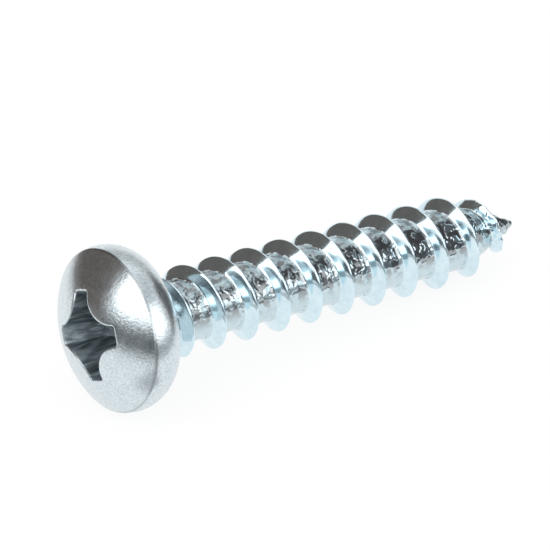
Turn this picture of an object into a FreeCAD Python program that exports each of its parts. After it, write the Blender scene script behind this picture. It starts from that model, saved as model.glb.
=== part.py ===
import FreeCAD, Part
import math
import os

import Sketcher
from FreeCAD import Placement, Rotation, Vector

doc = FreeCAD.newDocument("sheet_metal_screw")

# Driving sizes in millimetres and degrees. Heights run along the screw's axis from the head's
# bearing face: the shank on one side of it, the head on the other.
SIZES = [
    ("screw_length", 25.1, "from the bearing face to the point"),
    ("thread_diameter", 4.80, "outside diameter of the thread"),
    ("core_diameter", 3.42, "diameter between the threads"),
    ("pitch", 2.117, "from one crest to the next"),
    ("crest_width", 0.14, "flat left on the crest"),
    ("flank_angle", 30.0, "of each flank from square to the axis"),
    ("thread_start", 0.36, "height where the ridge leaves the neck"),
    ("start_turn", -30.0, "where on the shank the ridge leaves the neck"),
    ("start_ramp", 270.0, "turn over which the ridge grows to full height"),
    ("crest_taper_start", 20.0, "height where the crests begin to shrink to the point"),
    ("crest_taper_end", 25.1, "height where they have shrunk to the point"),
    ("crest_end_radius", 0.30, "crest radius at the point"),
    ("thread_end", 24.65, "height where the ridge dies out"),
    ("end_ramp", 120.0, "turn over which the ridge sinks into the point"),
    ("cone_start", 21.4, "height where the core begins to taper"),
    ("point_radius", 0.18, "rounding of the point"),
    ("neck_fillet", 0.75, "from the core to the bearing face"),
    ("head_diameter", 9.06, "widest part of the head"),
    ("head_height", 3.54, "from the bearing face to the crown"),
    ("rim_height", 1.20, "height of the widest part above the bearing face"),
    ("rim_lower_radius", 1.70, "side of the head below its widest part"),
    ("rim_upper_radius", 2.40, "side of the head above its widest part"),
    ("crease_height", 1.84, "height of the edge between side and dome"),
    ("recess_lead", 0.30, "plane above the crown where the cross is drawn"),
    ("recess_floor", 0.43, "from the bearing face up to the recess's lowest point"),
    ("mouth_span", 5.60, "tip to tip of the cross in the upper plane"),
    ("mouth_wing", 1.12, "width of a wing there"),
    ("floor_span", 2.30, "tip to tip of the cross at its lowest point"),
    ("floor_wing", 0.92, "width of a wing there"),
    ("flank_arc", 98.0, "turn of each hollow side between two wings"),
    ("floor_cone_angle", 20.0, "slope of the conical floor"),
    ("mouth_rounding", 0.10, "rounding of the recess's mouth"),
    ("recess_turn", -24.5, "turn of the cross about the axis"),
]
sheet = doc.addObject("Spreadsheet::Sheet", "Sizes")
for row, (alias, value, note) in enumerate(SIZES, start=1):
    sheet.set(f"A{row}", note)
    sheet.set(f"B{row}", str(value))
    sheet.setAlias(f"B{row}", alias)
doc.recompute()


def size(alias):
    return float(getattr(sheet, alias))


# Blank: head, neck, core and point, turned about the axis in one profile

START, END, CENTRE = 1, 2, 3
ORIGIN, ACROSS, ALONG = -1, -1, -2


def plane(body, role):
    return next(f for f in body.Origin.OriginFeatures if f.Role == role)


def new_sketch(body, name, role):
    sketch = body.newObject("Sketcher::SketchObject", name)
    sketch.AttachmentSupport = (plane(body, role), [""])
    sketch.MapMode = "FlatFace"
    return sketch


def arc(x, y, radius, start, end):
    circle = Part.Circle(Vector(x, y, 0), Vector(0, 0, 1), radius)
    return Part.ArcOfCircle(circle, math.radians(start), math.radians(end))


def line(x0, y0, x1, y1):
    return Part.LineSegment(Vector(x0, y0, 0), Vector(x1, y1, 0))


def bind(sketch, name, expression, kind, *where):
    """Add a dimension, name it and tie it to the sheet."""
    index = sketch.addConstraint(Sketcher.Constraint(kind, *where))
    sketch.renameConstraint(index, name)
    sketch.setExpression(f"Constraints.{name}", expression)


def fix_x(sketch, name, expression, geometry, point):
    drawn = sketch.getPoint(geometry, point).x
    bind(sketch, name, expression, "DistanceX", ORIGIN, START, geometry, point, drawn)


def fix_y(sketch, name, expression, geometry, point):
    drawn = sketch.getPoint(geometry, point).y
    bind(sketch, name, expression, "DistanceY", ORIGIN, START, geometry, point, drawn)


def rule(sketch, kind, *where):
    sketch.addConstraint(Sketcher.Constraint(kind, *where))


blank = doc.addObject("PartDesign::Body", "Blank")
profile = new_sketch(blank, "Profile", "XZ_Plane")
DOME, RIM_UP, RIM_LOW, BEARING, NECK, CORE, CONE, NOSE, AXIS = range(9)
profile.addGeometry(
    [
        arc(0.0, 3.2, 6.75, -90, -48),
        arc(2.17, -1.2, 2.4, -15, 0),
        arc(2.83, -1.2, 1.7, 0, 45),
        line(4.0, 0.0, 2.45, 0.0),
        arc(2.45, 0.75, 0.75, 180, 270),
        line(1.7, 0.75, 1.7, 21.4),
        line(1.7, 21.4, 0.17, 25.0),
        arc(0.0, 24.9, 0.18, 19, 90),
        line(0.0, 25.1, 0.0, -3.5),
    ]
)
for first, first_end, second, second_end in [
    (DOME, END, RIM_UP, START),
    (RIM_UP, END, RIM_LOW, START),
    (RIM_LOW, END, BEARING, START),
    (CORE, END, CONE, START),
    (NOSE, END, AXIS, START),
    (AXIS, END, DOME, START),
]:
    rule(profile, "Coincident", first, first_end, second, second_end)
for first, first_end, second, second_end in [
    (BEARING, END, NECK, END),
    (NECK, START, CORE, START),
    (CONE, END, NOSE, START),
]:
    rule(profile, "Tangent", first, first_end, second, second_end)
for geometry, point, axis in [
    (DOME, START, ALONG),
    (DOME, CENTRE, ALONG),
    (NOSE, CENTRE, ALONG),
    (NOSE, END, ALONG),
    (BEARING, START, ACROSS),
]:
    rule(profile, "PointOnObject", geometry, point, axis)
rule(profile, "Horizontal", BEARING)
rule(profile, "Vertical", CORE)
rule(profile, "Horizontal", RIM_UP, CENTRE, RIM_UP, END)
rule(profile, "Horizontal", RIM_LOW, CENTRE, RIM_LOW, START)
fix_y(profile, "crown", "-Sizes.head_height", DOME, START)
fix_y(profile, "crease", "-Sizes.crease_height", DOME, END)
fix_y(profile, "rim", "-Sizes.rim_height", RIM_UP, END)
fix_x(profile, "head", "Sizes.head_diameter / 2", RIM_UP, END)
bind(profile, "rim_up", "Sizes.rim_upper_radius", "Radius", RIM_UP, 2.4)
bind(profile, "rim_low", "Sizes.rim_lower_radius", "Radius", RIM_LOW, 1.7)
bind(profile, "neck", "Sizes.neck_fillet", "Radius", NECK, 0.75)
fix_x(profile, "core", "Sizes.core_diameter / 2", CORE, START)
fix_y(profile, "cone", "Sizes.cone_start", CORE, END)
bind(profile, "nose", "Sizes.point_radius", "Radius", NOSE, 0.18)
fix_y(profile, "point", "Sizes.screw_length", NOSE, END)
doc.recompute()

turned = blank.newObject("PartDesign::Revolution", "Turned")
turned.Profile = profile
turned.ReferenceAxis = (profile, ["V_Axis"])
turned.Angle = 360
turned.Refine = False
doc.recompute()

# Recess punch: a cross that tapers from an upper plane to its floor, ended by a shallow cone

punch = doc.addObject("PartDesign::Body", "Recess_punch")


def cross_sketch(name, height, level):
    """Four wings joined by hollow arcs, drawn square to the axis at the given height."""
    sketch = new_sketch(punch, name, "XY_Plane")
    sketch.setExpression("AttachmentOffset.Base.z", height)
    span, wing = f"Sizes.{level}_span", f"Sizes.{level}_wing"
    half_span = size(f"{level}_span") / 2
    half_wing = size(f"{level}_wing") / 2
    half_arc = size("flank_arc") / 2
    radius = (half_span - half_wing) / (math.sqrt(2) * math.sin(math.radians(half_arc)))
    flank_radius = f"({span} - {wing}) / (2 * sqrt(2) * sin(Sizes.flank_arc / 2 * 1 deg))"
    corner = (half_span - half_wing) / math.tan(math.radians(half_arc))
    middle = (half_span + half_wing + corner) / 2
    for quarter in range(4):
        turn = Rotation(Vector(0, 0, 1), 90 * quarter)
        tip = [turn.multVec(Vector(half_span, side * half_wing, 0)) for side in (-1, 1)]
        centre = turn.multVec(Vector(middle, middle, 0))
        sketch.addGeometry(Part.LineSegment(*tip))
        inward = 225 + 90 * quarter
        hollow = arc(centre.x, centre.y, radius, inward - half_arc, inward + half_arc)
        sketch.addGeometry(hollow)
    for quarter in range(4):
        tip, hollow = 2 * quarter, 2 * quarter + 1
        rule(sketch, "Coincident", tip, END, hollow, END)
        rule(sketch, "Coincident", hollow, START, (tip + 2) % 8, START)
        bind(sketch, f"flank_{quarter}", flank_radius, "Radius", hollow, radius)
        turn = Rotation(Vector(0, 0, 1), 90 * quarter)
        for end, side in ((START, -1), (END, 1)):
            spot = turn.multVec(Vector(2, side, 0))
            for letter, fix, offset in (("x", fix_x, spot.x), ("y", fix_y, spot.y)):
                across = span if abs(offset) > 1.5 else wing
                sign = "-" if offset < 0 else ""
                fix(sketch, f"{letter}_{quarter}_{end}", f"{sign}{across} / 2", tip, end)
    return sketch


mouth = cross_sketch("Mouth", "-Sizes.head_height - Sizes.recess_lead", "mouth")
floor = cross_sketch("Floor", "-Sizes.recess_floor", "floor")
doc.recompute()

wedge = punch.newObject("PartDesign::AdditiveLoft", "Wedge")
wedge.Profile = mouth
wedge.Sections = [floor]
wedge.Ruled = True
wedge.Refine = False
doc.recompute()
before = wedge.Shape.Volume

# The wings' floor is left whole below this cone, which rises outwards from the axis.
trim = new_sketch(punch, "Floor_cone", "XZ_Plane")
SLOPE, OUTSIDE, UNDER, MIDDLE = range(4)
trim.addGeometry(
    [
        line(0.0, -0.8, 2.0, -1.5),
        line(2.0, -1.5, 2.0, 0.5),
        line(2.0, 0.5, 0.0, 0.5),
        line(0.0, 0.5, 0.0, -0.8),
    ]
)
for here, after in ((SLOPE, OUTSIDE), (OUTSIDE, UNDER), (UNDER, MIDDLE), (MIDDLE, SLOPE)):
    rule(trim, "Coincident", here, END, after, START)
rule(trim, "Vertical", OUTSIDE)
rule(trim, "Horizontal", UNDER)
rule(trim, "PointOnObject", MIDDLE, START, ALONG)
rule(trim, "PointOnObject", MIDDLE, END, ALONG)
fix_y(trim, "lowest", "-Sizes.recess_floor", SLOPE, START)
fix_x(trim, "beyond", "Sizes.mouth_span", SLOPE, END)
fix_y(trim, "under", "1 - Sizes.recess_floor", UNDER, START)
bind(
    trim,
    "rise",
    "Sizes.mouth_span * tan(Sizes.floor_cone_angle * 1 deg)",
    "DistanceY",
    SLOPE,
    END,
    SLOPE,
    START,
    0.7,
)
doc.recompute()

cone_cut = punch.newObject("PartDesign::Groove", "Cone_cut")
cone_cut.Profile = trim
cone_cut.ReferenceAxis = (trim, ["V_Axis"])
cone_cut.Angle = 360
cone_cut.Refine = False
doc.recompute()
if cone_cut.Shape.Volume >= before - 1e-3:
    raise RuntimeError("the conical floor trimmed nothing off the recess punch")

# Head with its recess and the recess's rounded mouth

for body in (blank, punch):
    body.Placement = Placement(Vector(0, 0, 0), Rotation(Vector(0, 0, 1), 0))
punch.setExpression("Placement.Rotation.Angle", "Sizes.recess_turn * 1 deg")

recessed = doc.addObject("Part::Cut", "Recessed_blank")
recessed.Base = blank
recessed.Tool = punch
doc.recompute()


def is_mouth_edge(edge):
    """True where a wall of the recess meets the dome."""
    sides = [face.Surface for face in recessed.Shape.ancestorsOfType(edge, Part.Face)]
    domes = [side for side in sides if isinstance(side, Part.Sphere)]
    turned_sides = (Part.Sphere, Part.Toroid, Part.Cone, Part.Cylinder)
    walls = [side for side in sides if not isinstance(side, turned_sides)]
    return bool(domes) and bool(walls)


rounding = size("mouth_rounding")
rounded = doc.addObject("Part::Fillet", "Rounded_mouth")
rounded.Base = recessed
rounded.Edges = [
    (number, rounding, rounding)
    for number, edge in enumerate(recessed.Shape.Edges, start=1)
    if is_mouth_edge(edge)
]
doc.recompute()

# Thread ridge: one right-hand helical ridge with sloping flanks and a narrow crest. It grows out
# of the neck, keeps its height along the shank and shrinks with the point. Its inner side is
# buried in the core. The turn is measured from local X and rises towards local Y.

CORE_RADIUS = size("core_diameter") / 2
CREST_RADIUS = size("thread_diameter") / 2
FLANK = math.tan(math.radians(size("flank_angle")))
FIRST = math.radians(size("start_turn"))
LAST = FIRST + 2 * math.pi * (size("thread_end") - size("thread_start")) / size("pitch")
STEPS_PER_TURN = 18


def smooth(value):
    value = min(1.0, max(0.0, value))
    return value * value * (3 - 2 * value)


def ridge_height(turn):
    """Height along the axis of the middle of the crest."""
    return size("thread_start") + size("pitch") * (turn - FIRST) / (2 * math.pi)


def buried_radius(height):
    """A radius that stays inside the core and the point."""
    left = (size("screw_length") - height) / (size("screw_length") - size("cone_start"))
    return 0.9 * CORE_RADIUS * min(1.0, max(0.05, left))


def crest_radius(turn):
    height = ridge_height(turn)
    taper = height - size("crest_taper_start")
    taper /= size("crest_taper_end") - size("crest_taper_start")
    drop = (CREST_RADIUS - size("crest_end_radius")) * max(0.0, taper) ** 2
    hidden = buried_radius(height)
    grown = smooth((turn - FIRST) / math.radians(size("start_ramp")))
    kept = smooth((LAST - turn) / math.radians(size("end_ramp")))
    return hidden + (CREST_RADIUS - drop - hidden) * grown * kept


def root_edge(turn, side):
    """Radius and height where a flank ends inside the core, on the head or the point side."""
    crest = crest_radius(turn)
    middle = ridge_height(turn)
    radius = 0.5 * crest
    for _ in range(12):
        height = middle + side * (size("crest_width") / 2 + (crest - radius) * FLANK)
        radius = min(0.94 * crest, buried_radius(height))
    return radius, height


def profile_corners(turn):
    """The ridge's section at one turn: head-side root, two crest edges, point-side root."""
    crest = crest_radius(turn)
    half = size("crest_width") / 2
    return [
        root_edge(turn, -1),
        (crest, ridge_height(turn) - half),
        (crest, ridge_height(turn) + half),
        root_edge(turn, 1),
    ]


def in_space(turn, radius, height):
    return Vector(radius * math.cos(turn), radius * math.sin(turn), height)


def ridge_solid():
    """Four rails follow the section's corners, and the ridge is ruled between them turn by turn."""
    count = math.ceil(STEPS_PER_TURN * (LAST - FIRST) / (2 * math.pi))
    turns = [FIRST + (LAST - FIRST) * i / count for i in range(count + 1)]
    rails = []
    for corner in range(4):
        rail = Part.BSplineCurve()
        points = [in_space(turn, *profile_corners(turn)[corner]) for turn in turns]
        rail.interpolate(Points=points, Parameters=turns)
        rails.append(rail)
    lengths = math.ceil((LAST - FIRST) / (2 * math.pi))
    cuts = [FIRST + (LAST - FIRST) * i / lengths for i in range(lengths + 1)]
    faces = []
    for start, end in zip(cuts, cuts[1:]):
        pieces = [rail.copy() for rail in rails]
        for piece in pieces:
            piece.segment(start, end)
        for corner in range(4):
            side = pieces[corner].makeRuledSurface(pieces[(corner + 1) % 4])
            faces.append(side.toShape())
    for turn in (FIRST, LAST):
        corners = [in_space(turn, *corner) for corner in profile_corners(turn)]
        faces.append(Part.Face(Part.makePolygon(corners + corners[:1])))
    shell = Part.Shell(faces)
    shell.sewShape()
    solid = Part.Solid(shell)
    if solid.Volume < 0:
        solid.reverse()
    return solid


ridge = doc.addObject("Part::Feature", "Thread_ridge")
ridge.Shape = ridge_solid()

screw = doc.addObject("Part::Fuse", "Screw")
screw.Label = "screw"
screw.Base = rounded
screw.Tool = ridge
screw.Refine = False
doc.recompute()

# At rest the screw lies on the rim of its head and on the last full crests, point down. Local X
# turns to the floor and local Z, the way of the point, to world X dipping by the rest tilt.


def lowest_reach(tilt, spots):
    """How far below the axis's origin the given spots reach, at a tilt."""
    return max(across * math.cos(tilt) + along * math.sin(tilt) for across, along in spots)


def rest_tilt():
    """The tilt at which the head's rim and the thread reach equally far down."""
    rim = (size("head_diameter") / 2 - size("rim_lower_radius"), -size("rim_height"))
    crests = []
    samples = int((LAST - FIRST) / math.radians(2))
    for i in range(samples + 1):
        turn = FIRST + (LAST - FIRST) * i / samples
        _, (radius, near), (_, far), _ = profile_corners(turn)
        crests += [(radius * math.cos(turn), near), (radius * math.cos(turn), far)]
    low, high = 0.0, math.radians(30)
    for _ in range(40):
        tilt = (low + high) / 2
        head = lowest_reach(tilt, [rim]) + size("rim_lower_radius")
        if lowest_reach(tilt, crests) > head:
            high = tilt
        else:
            low = tilt
    return (low + high) / 2


TILT = rest_tilt()
turn_down = Rotation(Vector(0, 1, 0), 90 + math.degrees(TILT))
screw.Placement = Placement(Vector(0, 0, 0), turn_down)
doc.recompute()

# Checks, then one file for the one piece

for item in doc.Objects:
    if "Invalid" in item.State or "Error" in item.State:
        raise RuntimeError(f"{item.Label} failed: {item.State}")
for item in (blank, punch, recessed, rounded, ridge, screw):
    if item.Shape.isNull() or not item.Shape.isValid():
        raise RuntimeError(f"{item.Label} has no valid shape")
if recessed.Shape.Volume > blank.Shape.Volume - 10:
    raise RuntimeError("the recess cut almost nothing")
if len(screw.Shape.Solids) != 1:
    raise RuntimeError("the screw isn't one solid")
shared = rounded.Shape.common(ridge.Shape).Volume
if abs(screw.Shape.Volume - rounded.Shape.Volume - ridge.Shape.Volume + shared) > 0.5:
    raise RuntimeError("the thread is missing from the screw")

box = screw.Shape.BoundBox
print(f"screw {screw.Shape.Volume:.2f} mm3, tilt {math.degrees(TILT):.6f} deg")
print("box", [round(v, 3) for v in (box.XMin, box.YMin, box.ZMin, box.XMax, box.YMax, box.ZMax)])
os.makedirs("parts", exist_ok=True)
screw.Shape.exportStep("parts/screw.step")
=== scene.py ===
import math

import bmesh
import bpy
from mathutils import Matrix, Vector


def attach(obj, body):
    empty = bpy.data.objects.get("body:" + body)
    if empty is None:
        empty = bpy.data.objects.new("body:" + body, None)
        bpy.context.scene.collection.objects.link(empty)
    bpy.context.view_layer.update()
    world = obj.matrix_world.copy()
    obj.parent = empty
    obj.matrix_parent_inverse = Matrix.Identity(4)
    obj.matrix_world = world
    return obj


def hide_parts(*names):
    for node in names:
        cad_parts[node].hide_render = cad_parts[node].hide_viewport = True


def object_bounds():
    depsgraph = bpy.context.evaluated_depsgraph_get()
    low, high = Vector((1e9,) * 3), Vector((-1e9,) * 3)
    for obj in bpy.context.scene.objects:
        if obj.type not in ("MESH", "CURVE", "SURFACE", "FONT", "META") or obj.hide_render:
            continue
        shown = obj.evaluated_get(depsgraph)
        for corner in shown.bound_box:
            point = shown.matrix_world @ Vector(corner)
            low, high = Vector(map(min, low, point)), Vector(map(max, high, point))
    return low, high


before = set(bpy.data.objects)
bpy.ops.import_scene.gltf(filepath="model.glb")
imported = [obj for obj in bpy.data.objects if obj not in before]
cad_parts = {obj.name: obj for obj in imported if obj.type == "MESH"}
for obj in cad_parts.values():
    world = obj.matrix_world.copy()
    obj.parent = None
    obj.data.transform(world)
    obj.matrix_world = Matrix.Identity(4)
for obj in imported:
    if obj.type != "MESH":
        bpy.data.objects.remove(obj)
cad_box = [list(corner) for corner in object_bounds()]

# The screw

# One piece of case-hardened steel wire: its head is upset and punched cold, its thread and its
# pinched point are rolled, and the whole is plated with bright zinc. Sizes are in millimetres
# along and across the screw's axis, from the head's bearing face towards the point.

zinc = bpy.data.materials.new("bright_zinc")

# Shank: two dies roll the thread out of the wire, and its ridge follows the core by one rule,
# turn by turn. So the tree lays a strip one pitch wide along the helix, COLUMNS steps to a turn,
# and sets how far out from the axis each of its points lies.

COLUMNS = 128
START_TURN = math.radians(-30)
FIRST_STEP, LAST_STEP, ROWS = -84, 1564, 37
NEAR_CREST = 0.33
END_SNAP, STRIP_WELD = 0.004, 0.0005
WAVER_SCALE, RAGGED_SCALE = 0.9, 2.2
THREAD_SIZES = {
    "Length": 25.1,
    "Low end": 0.12,
    "High end": 25.05,
    "Core radius": 1.71,
    "Neck fillet": 0.75,
    "Crest radius": 2.40,
    "Crest half width": 0.07,
    "Flank run": math.tan(math.radians(30)),
    "Pitch": 2.117,
    "Thread start": 0.36,
    "Thread end": 24.65,
    "Start ramp": 0.75,
    "End ramp": 0.333,
    "Taper start": 20.0,
    "Crest end radius": 0.30,
    "Buried share": 0.9,
    "Cone start": 21.4,
    "Cone slope": 0.43,
    "Nose start": 24.991,
    "Nose centre": 24.92,
    "Nose radius": 0.18,
    "Root fillet": 0.10,
    "Unevenness": 0.022,
    "Ragged point": 0.5,
    "Pinch start": 22.0,
    "Pinch full": 23.4,
    "Pinch fade": 24.5,
    "Pinch end": 24.95,
}


class Wire:
    """An output of a node. Sums on wires add Math nodes, and node() adds any other node."""

    def __init__(self, tree, socket=None):
        self.tree = tree
        self.socket = socket

    def node(self, kind, settings=None, sockets=None, out=0):
        made = self.tree.nodes.new(kind)
        for name, value in (settings or {}).items():
            setattr(made, name, value)
        for name, value in (sockets or {}).items():
            if isinstance(value, Wire):
                self.tree.links.new(value.socket, made.inputs[name])
            else:
                made.inputs[name].default_value = value
        return Wire(self.tree, made.outputs[out] if made.outputs else None)

    def math(self, operation, *values):
        sockets = dict(enumerate(values))
        return self.node("ShaderNodeMath", {"operation": operation}, sockets)

    def __add__(self, other):
        return self.math("ADD", self, other)

    def __radd__(self, other):
        return self.math("ADD", other, self)

    def __sub__(self, other):
        return self.math("SUBTRACT", self, other)

    def __rsub__(self, other):
        return self.math("SUBTRACT", other, self)

    def __mul__(self, other):
        return self.math("MULTIPLY", self, other)

    def __rmul__(self, other):
        return self.math("MULTIPLY", other, self)

    def __truediv__(self, other):
        return self.math("DIVIDE", self, other)

    def __rtruediv__(self, other):
        return self.math("DIVIDE", other, self)

    def low(self, other):
        return self.math("MINIMUM", self, other)

    def high(self, other):
        return self.math("MAXIMUM", self, other)

    def smooth(self, start, end):
        """0 below start, 1 above end and an eased slope between them."""
        settings = {"interpolation_type": "SMOOTHSTEP"}
        sockets = {"Value": self, "From Min": start, "From Max": end}
        return self.node("ShaderNodeMapRange", settings, sockets)


thread = bpy.data.node_groups.new("rolled_thread", "GeometryNodeTree")
thread.is_modifier = True
thread.interface.new_socket("Mesh", in_out="OUTPUT", socket_type="NodeSocketGeometry")
for name, value in THREAD_SIZES.items():
    socket = thread.interface.new_socket(name, in_out="INPUT", socket_type="NodeSocketFloat")
    socket.default_value = value
wire = Wire(thread)
group_in = thread.nodes.new("NodeGroupInput")
given = {name: Wire(thread, group_in.outputs[name]) for name in THREAD_SIZES}

# The strip: a step's crest height, and each row's place above or below the crest. The rows crowd
# together near the crest, and points past the shank's ends are drawn back to them.

strip = wire.node(
    "GeometryNodeMeshGrid",
    sockets={
        "Size X": 1.0,
        "Size Y": 1.0,
        "Vertices X": LAST_STEP - FIRST_STEP + 1,
        "Vertices Y": ROWS,
    },
)
place = wire.node("GeometryNodeInputPosition")
along_strip = wire.node("ShaderNodeSeparateXYZ", sockets={0: place}, out=0)
across_strip = wire.node("ShaderNodeSeparateXYZ", sockets={0: place}, out=1)
step = wire.math("ROUND", (along_strip + 0.5) * (LAST_STEP - FIRST_STEP)) + FIRST_STEP
side = across_strip * 2
offset = side * (NEAR_CREST + (given["Pitch"] * 0.5 - NEAR_CREST) * side * side)
column = step.math("FLOORED_MODULO", step, COLUMNS)
turn = column * (2 * math.pi / COLUMNS) + START_TURN
crest_height = given["Thread start"] + given["Pitch"] * step / COLUMNS
height = (crest_height + offset).high(given["Low end"]).low(given["High end"])
at_top = wire.math("GREATER_THAN", height, given["High end"] - END_SNAP)
height = height + (given["High end"] - height) * at_top
at_bottom = wire.math("LESS_THAN", height, given["Low end"] + END_SNAP)
height = height - (height - given["Low end"]) * at_bottom

# The core: a neck fillet, a straight shaft, a cone and a round nose.

into_neck = (given["Neck fillet"] - height).high(0)
fillet_square = given["Neck fillet"] * given["Neck fillet"] - into_neck * into_neck
fillet_rise = wire.math("SQRT", fillet_square.high(0))
shaft = given["Core radius"] + given["Neck fillet"] - fillet_rise
cone = shaft - given["Cone slope"] * (height - given["Cone start"]).high(0)
beyond = height - given["Nose centre"]
nose_square = given["Nose radius"] * given["Nose radius"] - beyond * beyond
nose = wire.math("SQRT", nose_square.high(0))
on_nose = wire.math("GREATER_THAN", height, given["Nose start"])
core = cone * (1 - on_nose) + nose * on_nose

# The crest: it grows out of the core at the head, runs full, sinks over the last turns and dies
# out before the nose. Where there is no thread it lies buried in the core.

turns_in = (crest_height - given["Thread start"]) / given["Pitch"]
turns_left = (given["Thread end"] - crest_height) / given["Pitch"]
taper_length = given["Length"] - given["Taper start"]
taper = (crest_height - given["Taper start"]).high(0) / taper_length
drop = (given["Crest radius"] - given["Crest end radius"]) * taper * taper
to_tip = (given["Length"] - crest_height) / (given["Length"] - given["Cone start"])
buried = given["Buried share"] * given["Core radius"] * to_tip.high(0.05).low(1)
grown = turns_in.smooth(0.0, given["Start ramp"])
kept = turns_left.smooth(0.0, given["End ramp"])
crest = buried + (given["Crest radius"] - drop - buried) * grown * kept

# The surface: the outer one of core and flank, with a small fillet where they meet. lift is 0 in
# the root and 1 on a full crest.

half = given["Crest half width"]
slant = wire.math("SQRT", offset * offset + half * half) - half
flank = crest - slant / given["Flank run"]
apart = wire.math("ABSOLUTE", core - flank)
fillet = (given["Root fillet"] * grown * kept * core / given["Core radius"]).high(0.001)
blend = (1 - apart / fillet).high(0)
surface = core.high(flank) + fillet * 0.25 * blend * blend
lift = ((surface - core) / (given["Crest radius"] - given["Core radius"])).high(0)


def around(radius):
    """The strip's point at this distance from the axis."""
    x = wire.math("COSINE", turn) * radius
    y = wire.math("SINE", turn) * radius
    return wire.node("ShaderNodeCombineXYZ", sockets={0: x, 1: y, 2: height})


def rolled_noise(scale):
    """A noise of about -0.5 to 0.5 on the thread's surface."""
    sockets = {"Vector": around(surface), "Scale": scale, "Detail": 2.0}
    return wire.node("ShaderNodeTexNoise", sockets=sockets) - 0.5


waver = rolled_noise(WAVER_SCALE)
ragged = rolled_noise(RAGGED_SCALE)
pinched = height.smooth(given["Pinch start"], given["Pinch full"])
pinched = pinched * (1 - height.smooth(given["Pinch fade"], given["Pinch end"]))
worn = surface + waver * 2 * given["Unevenness"] * lift.low(1)
worn = worn + ragged * given["Ragged point"] * pinched

named = wire.node(
    "GeometryNodeStoreNamedAttribute",
    {"data_type": "FLOAT", "domain": "POINT"},
    {"Geometry": strip, "Name": "lift", "Value": lift},
)
laid_sockets = {"Geometry": named, "Position": around(worn)}
laid = wire.node("GeometryNodeSetPosition", sockets=laid_sockets)
joined_sockets = {"Geometry": laid, "Distance": STRIP_WELD}
joined = wire.node("GeometryNodeMergeByDistance", sockets=joined_sockets)
real = wire.node("GeometryNodeRealizeInstances", sockets={0: joined})
plated = wire.node("GeometryNodeSetMaterial", sockets={"Geometry": real, "Material": zinc})
group_out = thread.nodes.new("NodeGroupOutput")
thread.links.new(plated.socket, group_out.inputs[0])

shank = bpy.data.objects.new("shank", bpy.data.meshes.new("shank"))
bpy.context.scene.collection.objects.link(shank)
rolled = shank.modifiers.new("rolled_thread", "NODES")
rolled.node_group = thread
for item in thread.interface.items_tree:
    if item.in_out == "INPUT":
        rolled[item.identifier] = THREAD_SIZES[item.name]
graph = bpy.context.evaluated_depsgraph_get()
shank_mesh = bpy.data.meshes.new_from_object(shank.evaluated_get(graph))
bpy.data.objects.remove(shank)

# Head: a pan head, upset from the wire and round about the axis, with the cross recess punched
# into its dome. Loops of COLUMNS points run from the recess's floor over the dome and the rim to
# the neck. The dome meets the rim's upper round in a crease.

HEAD_RADIUS, HEAD_HEIGHT = 4.53, 3.54
DOME_RADIUS = 6.656
DOME_CENTRE = DOME_RADIUS - HEAD_HEIGHT
RIM_LEVEL = -1.20
UPPER_ROUND, LOWER_ROUND = 2.40, 1.70
CREASE_RADIUS, CREASE_LEVEL, CREASE_ROUND = 4.443, -1.84, 0.06
BEARING_RADIUS = 3.97
RECESS_TURN = math.radians(-24.5)
MOUTH_SPAN, MOUTH_WING, MOUTH_ROUND = 5.60, 1.12, 0.12
FLOOR_SPAN, FLOOR_WING = 2.30, 0.92
MOUTH_LEVEL, FLOOR_LEVEL = -(HEAD_HEIGHT + 0.30), -0.43
FLOOR_RISE = math.tan(math.radians(20))
HOLLOW_ARC = math.radians(49)


def dome(point):
    """The same point laid on the dome."""
    across = math.hypot(point.x, point.y)
    return Vector((point.x, point.y, DOME_CENTRE - math.sqrt(DOME_RADIUS**2 - across**2)))


def ring(radius, level):
    """A loop round the axis, its points in line with the strip's columns."""
    angles = [START_TURN + 2 * math.pi * k / COLUMNS for k in range(COLUMNS)]
    return [Vector((radius * math.cos(a), radius * math.sin(a), level)) for a in angles]


def cross(span, wing):
    """An outline of the cross recess: four wings joined by hollow sides."""
    reach, half_wing = span / 2, wing / 2
    radius = (reach - half_wing) / (math.sqrt(2) * math.sin(HOLLOW_ARC))
    middle = (reach + half_wing + (reach - half_wing) / math.tan(HOLLOW_ARC)) / 2
    quarter = [Vector((reach, half_wing * j / 3, 0)) for j in range(-3, 3)]
    count = COLUMNS // 4 - len(quarter)
    for j in range(count):
        angle = math.radians(225) + HOLLOW_ARC * (1 - 2 * j / count)
        x, y = middle + radius * math.cos(angle), middle + radius * math.sin(angle)
        quarter.append(Vector((x, y, 0)))
    points = []
    for q in range(4):
        turned = Matrix.Rotation(RECESS_TURN + q * math.pi / 2, 3, "Z")
        points += [turned @ spot for spot in quarter]
    soft = []
    for i, spot in enumerate(points):
        after = points[(i + 1) % len(points)]
        soft.append((points[i - 1] + 2 * spot + after) / 4)
    return soft[1:] + soft[:1]


def between(first, second, share):
    """The loop that lies this share of the way from the first to the second."""
    return [a.lerp(b, share) for a, b in zip(first, second)]


def rounded(first, corner, last, count):
    """Loops that turn smoothly from one loop to another past a corner."""
    turning = []
    for i in range(count + 1):
        share = i / count
        to_corner, from_corner = between(first, corner, share), between(corner, last, share)
        turning.append(between(to_corner, from_corner, share))
    return turning


mouth_outline = cross(MOUTH_SPAN, MOUTH_WING)
floor_outline = cross(FLOOR_SPAN, FLOOR_WING)


def wall(k, depth):
    """A point of the recess's wall in column k: depth 0 at the mouth level, 1 at the floor's."""
    spot = mouth_outline[k].lerp(floor_outline[k], depth)
    spot.z = MOUTH_LEVEL + (FLOOR_LEVEL - MOUTH_LEVEL) * depth
    return spot


def depth_where(k, below):
    """How deep the wall in column k first lies below something."""
    high, low = 0.0, 1.0
    for _ in range(30):
        middle = (high + low) / 2
        if below(wall(k, middle)):
            low = middle
        else:
            high = middle
    return (high + low) / 2


def below_dome(spot):
    return spot.z > dome(spot).z


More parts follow.
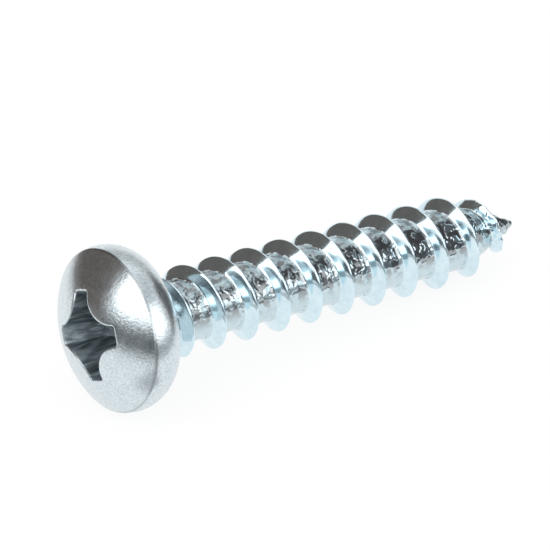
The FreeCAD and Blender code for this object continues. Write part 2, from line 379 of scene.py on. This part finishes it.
def below_floor(spot):
    return spot.z > FLOOR_LEVEL - FLOOR_RISE * math.hypot(spot.x, spot.y)


def on_floor(loop, share):
    """The loop drawn in towards the axis and laid on the floor's cone."""
    points = []
    for spot in loop:
        across = Vector((spot.x, spot.y, 0)) * share
        points.append(Vector((across.x, across.y, FLOOR_LEVEL - FLOOR_RISE * across.length)))
    return points


mouth_depths = [depth_where(k, below_dome) for k in range(COLUMNS)]
floor_depths = [depth_where(k, below_floor) for k in range(COLUMNS)]
mouth_edge = [wall(k, depth) for k, depth in enumerate(mouth_depths)]
floor_edge = [wall(k, depth) for k, depth in enumerate(floor_depths)]
outside = []
for k, spot in enumerate(mouth_edge):
    run = mouth_edge[(k + 1) % COLUMNS] - mouth_edge[k - 1]
    outward = Vector((run.y, -run.x, 0)).normalized()
    outside.append(dome(spot + outward * MOUTH_ROUND))
round_depth = MOUTH_ROUND / (FLOOR_LEVEL - MOUTH_LEVEL)
under = [wall(k, depth + round_depth) for k, depth in enumerate(mouth_depths)]

loops = [on_floor(floor_edge, share) for share in (0.15, 0.35, 0.6, 0.8, 0.93, 0.985)]
for share in (0.0, 0.015, 0.07, 0.2, 0.35, 0.5, 0.65, 0.8, 0.92):
    loops.append(between(floor_edge, under, share))
inner_loops = len(loops)
loops += rounded(under, mouth_edge, outside, 6)
crease_in = [dome(spot) for spot in ring(CREASE_RADIUS - CREASE_ROUND, 0)]
for share in (0.03, 0.08, 0.15, 0.25, 0.37, 0.5, 0.63, 0.76, 0.88, 0.96):
    loops.append([dome(spot) for spot in between(outside, crease_in, share)])


def rim_ring(round_radius, angle):
    """A ring on the rim's upper or lower round, at an angle in degrees from the rim's level."""
    a = math.radians(angle)
    centre = HEAD_RADIUS - round_radius
    return ring(centre + round_radius * math.cos(a), RIM_LEVEL + round_radius * math.sin(a))


crease_ring = ring(CREASE_RADIUS, CREASE_LEVEL)
loops += rounded(crease_in, crease_ring, rim_ring(UPPER_ROUND, -14.0), 5)
loops += [rim_ring(UPPER_ROUND, angle) for angle in (-12, -9.5, -7, -4.5, -2.2)]
loops += [rim_ring(LOWER_ROUND, angle) for angle in (0, 5, 10, 15, 20, 25, 30, 35, 40)]
bearing_ring = ring(BEARING_RADIUS, 0.0)
loops += rounded(rim_ring(LOWER_ROUND, 43), rim_ring(LOWER_ROUND, 44.9), bearing_ring, 4)
loops += [ring(radius, 0.0) for radius in (3.7, 3.3, 2.9, 2.6)]
neck_fillet = THREAD_SIZES["Neck fillet"]
neck_radius = THREAD_SIZES["Core radius"] + neck_fillet
neck_angles = [math.radians(angle) for angle in (0, 6, 13, 20, 27)]
neck_angles.append(math.acos(1 - THREAD_SIZES["Low end"] / neck_fillet))
for angle in neck_angles:
    level = neck_fillet * (1 - math.cos(angle))
    loops.append(ring(neck_radius - neck_fillet * math.sin(angle), level))

# The metal's mesh: the shank, the head and the nose's tip, welded at their shared rings and moved
# to where the screw came to rest, on the rim of its head and the last full turns of its thread.

NOSE_LEVELS = (25.085, 25.07, THREAD_SIZES["High end"])
FADE_LOOPS = 4
SEAM_WELD = 0.001
REST_TILT = math.radians(5.854081)
MM_TO_FRAME = Matrix(
    (
        (-math.sin(REST_TILT), 0, math.cos(REST_TILT), 0),
        (0, 1, 0, 0),
        (-math.cos(REST_TILT), 0, -math.sin(REST_TILT), 0),
        (0, 0, 0, 1),
    )
) @ Matrix.Scale(0.001, 4)

metal = bmesh.new()
metal.from_mesh(shank_mesh)
recess_layer = metal.verts.layers.float.new("recess")


def skin(rings, pole, share_inside):
    """Faces between neighbouring loops, closed by a fan at the pole."""
    rows = []
    for number, loop in enumerate(rings):
        row = [metal.verts.new(spot) for spot in loop]
        for vertex in row:
            vertex[recess_layer] = share_inside(number)
        rows.append(row)
    middle = metal.verts.new(pole)
    middle[recess_layer] = share_inside(0)
    for k in range(COLUMNS):
        after = (k + 1) % COLUMNS
        metal.faces.new((middle, rows[0][k], rows[0][after]))
        for near_row, far_row in zip(rows, rows[1:]):
            metal.faces.new((near_row[k], far_row[k], far_row[after], near_row[after]))


def inside_recess(number):
    """1 on the recess's own loops, and down to 0 over the rounded mouth."""
    return min(1.0, max(0.0, (inner_loops + FADE_LOOPS - number) / FADE_LOOPS))


skin(loops, Vector((0, 0, FLOOR_LEVEL)), inside_recess)
nose_loops = []
for level in NOSE_LEVELS:
    rise = level - THREAD_SIZES["Nose centre"]
    nose_loops.append(ring(math.sqrt(THREAD_SIZES["Nose radius"] ** 2 - rise**2), level))
skin(nose_loops, Vector((0, 0, THREAD_SIZES["Length"])), lambda number: 0.0)

bmesh.ops.remove_doubles(metal, verts=metal.verts, dist=SEAM_WELD)
bmesh.ops.recalc_face_normals(metal, faces=metal.faces)
for face in metal.faces:
    face.smooth = True
    face.material_index = 0
bmesh.ops.transform(metal, matrix=MM_TO_FRAME, verts=metal.verts)
screw_mesh = bpy.data.meshes.new("screw_metal")
metal.to_mesh(screw_mesh)
metal.free()
bpy.data.meshes.remove(shank_mesh)
screw_mesh.materials.clear()
screw_mesh.materials.append(zinc)
screw_metal = bpy.data.objects.new("screw_metal", screw_mesh)
bpy.context.scene.collection.objects.link(screw_metal)

# Finish: bright zinc plating, blue-passivated. It is satin and mottled on the head, where the
# blank's own skin shows through, and smoother on the flanks that the dies rolled. The roots are
# pitted and tinted darker, and the recess is scored by the punch and dull. The recess, the crease
# and the roots' upper side are darkened with painted shade.

HEAD_DULL, HEAD_BRIGHT = (0.69, 0.79, 0.84, 1), (0.77, 0.85, 0.89, 1)
SHANK_DULL, SHANK_BRIGHT = (0.64, 0.80, 0.87, 1), (0.73, 0.88, 0.94, 1)
HEAD_SPECK = (0.46, 0.50, 0.52, 1)
ROOT_DARKER, ROOT_SHADE = (0.50, 0.60, 0.63, 1), (0.22, 0.20, 0.20, 1)
CREASE_SHADE = (0.35, 0.38, 0.40, 1)
SHADED_SCORE_DARK, SHADED_SCORE_LIGHT = (0.15, 0.18, 0.20, 1), (0.42, 0.50, 0.54, 1)
SCORE_STRETCH = (0.5, 2.0, 4.0)
AXIS = (math.cos(REST_TILT), 0, -math.sin(REST_TILT))

zinc.use_nodes = True
zinc.node_tree.nodes.clear()
wire = Wire(zinc.node_tree)


def vector_math(operation, first, second, out=0):
    sockets = {0: first, 1: second}
    return wire.node("ShaderNodeVectorMath", {"operation": operation}, sockets, out)


def noise(scale, detail, roughness):
    sockets = {"Vector": in_mm, "Scale": scale, "Detail": detail, "Roughness": roughness}
    return wire.node("ShaderNodeTexNoise", sockets=sockets)


def colour_mix(share, first, second):
    sockets = {0: share, 6: first, 7: second}
    return wire.node("ShaderNodeMix", {"data_type": "RGBA"}, sockets, out=2)


where = wire.node("ShaderNodeTexCoord", out="Object")
in_mm = vector_math("MULTIPLY", where, (1000, 1000, 1000))
lift = wire.node("ShaderNodeAttribute", {"attribute_name": "lift"}, out="Fac")
recess = wire.node("ShaderNodeAttribute", {"attribute_name": "recess"}, out="Fac")
along = vector_math("DOT_PRODUCT", in_mm, AXIS, out="Value")
height_up = wire.node("ShaderNodeSeparateXYZ", sockets={0: in_mm}, out=2)

on_shank = along.smooth(-0.05, 0.15)
on_head = 1 - on_shank
root = (1 - lift.smooth(0.02, 0.12)) * on_shank
upper = (height_up + along * math.sin(REST_TILT)).smooth(-0.6, 0.4)
crease = wire.math("ABSOLUTE", along - CREASE_LEVEL)
crease = (1 - crease.smooth(0.01, 0.09)) * (1 - recess)

mottle = noise(1.6, 6.0, 0.7)
grain = noise(8.0, 5.0, 0.65)
pits = noise(2.6, 1.2, 0.5).smooth(0.40, 0.60)
ripple = noise(0.9, 0.5, 0.4)
specks = noise(9.0, 3.0, 0.6).smooth(0.35, 0.68)
squeezed = vector_math("MULTIPLY", in_mm, SCORE_STRETCH)
scores = wire.node("ShaderNodeTexNoise", sockets={"Vector": squeezed, "Scale": 1.4, "Detail": 3.0})
scores = scores.smooth(0.35, 0.68)

relief = (mottle * 0.5 + grain * 0.45) * on_head + on_shank * ripple * 1.1
relief = relief + root * (pits * 0.9 + grain * 0.12) - crease * 0.5
bump_sockets = {"Height": relief, "Strength": 0.6, "Distance": 0.00004}
bump = wire.node("ShaderNodeBump", sockets=bump_sockets)

head_rough = 0.17 + mottle * 0.10
shank_rough = 0.07 + mottle * 0.09
rough = head_rough * on_head + shank_rough * on_shank + recess * 0.36

# upper is the side above the axis. There the roots get painted shade between their pits, as the
# dark patches in the photograph lie: a darker tint in place of the dark cloth that the metal
# mirrors.

patches = mottle.smooth(0.35, 0.65)
plain_head = colour_mix(patches, HEAD_DULL, HEAD_BRIGHT)
plain_head = colour_mix(specks * 0.55, plain_head, HEAD_SPECK)
plain_shank = colour_mix(patches, SHANK_DULL, SHANK_BRIGHT)
tint = colour_mix(on_shank, plain_head, plain_shank)
# The roots are tinted darker all over.
tint = colour_mix(root * 0.5, tint, ROOT_DARKER)
tint = colour_mix(root * upper * (1 - pits) * 0.7, tint, ROOT_SHADE)
tint = colour_mix(crease * 0.6, tint, CREASE_SHADE)
# The recess is painted shade, dark all over, with the punch's scores streaked through it.
tint = colour_mix(recess, tint, colour_mix(scores, SHADED_SCORE_DARK, SHADED_SCORE_LIGHT))
shader = wire.node(
    "ShaderNodeBsdfPrincipled",
    sockets={"Base Color": tint, "Metallic": 1.0, "Roughness": rough, "Normal": bump},
)
wire.node("ShaderNodeOutputMaterial", sockets={"Surface": shader})

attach(screw_metal, "root")
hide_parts("screw")

# The table: a plain sheet of white paper, laid flat under the screw with no wall behind it. It
# looks white to the camera and in the metal, and keeps a little of the screw's shadow.

SHEET_REACH = 3
SHEET_GLOW = 0.88

lowest = cad_box[0][2]
sheet_corners = [(-1, -1), (1, -1), (1, 1), (-1, 1)]
sheet_points = [(x * SHEET_REACH, y * SHEET_REACH, lowest) for x, y in sheet_corners]
sheet_mesh = bpy.data.meshes.new("white_sheet")
sheet_mesh.from_pydata(sheet_points, [], [(0, 1, 2, 3)])
white_sheet = bpy.data.objects.new("white_sheet", sheet_mesh)
bpy.context.scene.collection.objects.link(white_sheet)
paper = bpy.data.materials.new("white_paper")
paper.use_nodes = True
paper.node_tree.nodes.clear()
wire = Wire(paper.node_tree)
seen = wire.node("ShaderNodeLightPath", out="Is Camera Ray")
mirrored = wire.node("ShaderNodeLightPath", out="Is Glossy Ray")
through = wire.node("ShaderNodeLightPath", out="Is Transmission Ray")
plain = wire.node("ShaderNodeBsdfDiffuse", sockets={"Color": (0.9, 0.9, 0.9, 1)})
white = wire.node("ShaderNodeEmission", sockets={"Color": (1, 1, 1, 1), "Strength": 1.0})
glow = seen.high(mirrored).high(through) * SHEET_GLOW
mixed = wire.node("ShaderNodeMixShader", sockets={0: glow, 1: plain, 2: white})
wire.node("ShaderNodeOutputMaterial", sockets={"Surface": mixed})
sheet_mesh.materials.append(paper)

# The light: a white tent with a soft box at the left and a wide one at the right of the camera.
# Dark cloth hangs behind the head and at the far right, grey cloth behind and above, and a low
# border runs round the sheet's near side, so that the bright metal has dark shapes to show.

LIT_SPOT = Vector((0.006, 0, 0))
LINE_STEPS = 24
OVER_SHEET = 0.0001
BORDER_REACH, BORDER_FOOT = (0.028, 0.018), -13

world = bpy.data.worlds.new("tent")
bpy.context.scene.world = world
world.use_nodes = True
world.node_tree.nodes.clear()
wire = Wire(world.node_tree)
sky = wire.node("ShaderNodeBackground", sockets={"Color": (1, 1, 1, 1), "Strength": 1.0})
wire.node("ShaderNodeOutputWorld", sockets={"Surface": sky})


def towards(azimuth, elevation):
    """A direction from the screw: azimuth 0 is -Y and 90 is +X."""
    a, e = math.radians(azimuth), math.radians(elevation)
    return Vector((math.sin(a) * math.cos(e), -math.cos(a) * math.cos(e), math.sin(e)))


def soft_box(name, azimuth, elevation, distance, size, power):
    data = bpy.data.lights.new(name, "AREA")
    data.shape = "RECTANGLE"
    data.size, data.size_y = size
    data.energy = power
    lamp = bpy.data.objects.new(name, data)
    bpy.context.scene.collection.objects.link(lamp)
    lamp.location = LIT_SPOT + towards(azimuth, elevation) * distance
    lamp.rotation_mode = "QUATERNION"
    lamp.rotation_quaternion = (-towards(azimuth, elevation)).to_track_quat("-Z", "Y")


def cloth(name, lines, shade):
    """A cloth through lines of points, which only the metal's own reflections show."""
    points = [spot for line in lines for spot in line]
    count = len(lines[0])
    faces = []
    for row in range(len(lines) - 1):
        for i in range(row * count, row * count + count - 1):
            faces.append((i, i + 1, i + 1 + count, i + count))
    mesh = bpy.data.meshes.new(name)
    mesh.from_pydata(points, [], faces)
    hung = bpy.data.objects.new(name, mesh)
    bpy.context.scene.collection.objects.link(hung)
    dyed = bpy.data.materials.new(name)
    dyed.use_nodes = True
    dyed.node_tree.nodes.clear()
    wire = Wire(dyed.node_tree)
    dim = wire.node("ShaderNodeEmission", sockets={"Color": (*shade, 1), "Strength": 1.0})
    wire.node("ShaderNodeOutputMaterial", sockets={"Surface": dim})
    mesh.materials.append(dyed)
    hung.visible_camera = False
    hung.visible_diffuse = False
    hung.visible_shadow = False


def round_line(start, end, elevation, reach_x, reach_y):
    """Points round the screw on an ellipse, at one elevation as seen from its middle."""
    points = []
    for i in range(LINE_STEPS + 1):
        azimuth = math.radians(start + (end - start) * i / LINE_STEPS)
        spot = Vector((math.sin(azimuth) * reach_x, -math.cos(azimuth) * reach_y, 0))
        spot.z = max(spot.length * math.tan(math.radians(elevation)), lowest + 2 * OVER_SHEET)
        points.append(LIT_SPOT + spot)
    return points


def hanging(start, end, low, high, reach):
    """A cloth's lower and upper line, between two azimuths, this far from the screw."""
    return [round_line(start, end, low, reach, reach), round_line(start, end, high, reach, reach)]


def border(start, end, high):
    """A border that stands on the sheet, between two azimuths, up to an elevation."""
    foot = round_line(start, end, BORDER_FOOT, *BORDER_REACH)
    return [foot, round_line(start, end, high, *BORDER_REACH)]


def flat_shadow(*corners):
    """A card of painted shadow that lies on the sheet, from pairs of corners."""
    return [[Vector((x, y, lowest + OVER_SHEET)) for x, y in pair] for pair in corners]


# Azimuths and elevations are in degrees, and distances and sizes in metres.

soft_box("left_box", -84, 38, 0.5, (0.445, 0.37), 0.75)
soft_box("right_box", -6, 28, 0.5, (0.84, 0.30), 1.0)
cloth("cloth_behind", hanging(-184, -106, -5, 58, 0.0358), (0.150, 0.126, 0.115))
cloth("cloth_right", hanging(50, 104, -6, 48, 0.036), (0.13, 0.13, 0.135))
cloth("grey_behind", hanging(104, 170, 18, 52, 0.2), (0.60, 0.61, 0.61))
cloth("grey_above", hanging(-60, 95, 50, 74, 0.2), (0.62, 0.63, 0.64))
cloth("grey_gap", hanging(-61, -48, 0, 55, 0.2), (0.22, 0.23, 0.23))
cloth("border_left", border(-112, -42, 11), (0.12, 0.125, 0.13))
cloth("border_middle", border(-42, -14, 8), (0.26, 0.27, 0.28))
cloth("border_front", border(-14, 34, 4), (0.40, 0.42, 0.43))
cloth("border_right", border(34, 60, 9), (0.16, 0.17, 0.18))
# The grey card near the head is painted shadow: the head's own shadow on the paper, as the metal
# mirrors it.
shadow_back = ((-0.006, -0.0035), (0.0, -0.0065))
shadow_front = ((-0.0115, -0.0105), (-0.003, -0.015))
cloth("painted_shadow_card", flat_shadow(shadow_back, shadow_front), (0.55, 0.56, 0.57))

# The camera, at the photograph's viewing angle, with a long lens: the focal length and the frame
# are in the photograph's pixels. It looks past the screw's origin by the two aims, in metres.

AZIMUTH, ELEVATION = math.radians(-36.373), math.radians(30.739)
DISTANCE, AIM_RIGHT, AIM_UP = 0.8, 0.007381, 0.002561
FOCAL_PIXELS, FRAME_PIXELS, SENSOR_WIDTH = 15120, 550, 36

back = Vector(
    (
        math.sin(AZIMUTH) * math.cos(ELEVATION),
        -math.cos(AZIMUTH) * math.cos(ELEVATION),
        math.sin(ELEVATION),
    )
)
right = Vector((math.cos(AZIMUTH), math.sin(AZIMUTH), 0))
up = back.cross(right)
camera_data = bpy.data.cameras.new("camera")
camera_data.sensor_width = SENSOR_WIDTH
camera_data.lens = SENSOR_WIDTH * FOCAL_PIXELS / FRAME_PIXELS
camera_data.clip_start, camera_data.clip_end = 0.01, 10
camera = bpy.data.objects.new("camera", camera_data)
bpy.context.scene.collection.objects.link(camera)
camera.rotation_mode = "QUATERNION"
camera.location = back * DISTANCE + right * AIM_RIGHT + up * AIM_UP
camera.rotation_quaternion = (-back).to_track_quat("-Z", "Y")
bpy.context.scene.camera = camera
bpy.context.scene.view_settings.view_transform = "Standard"
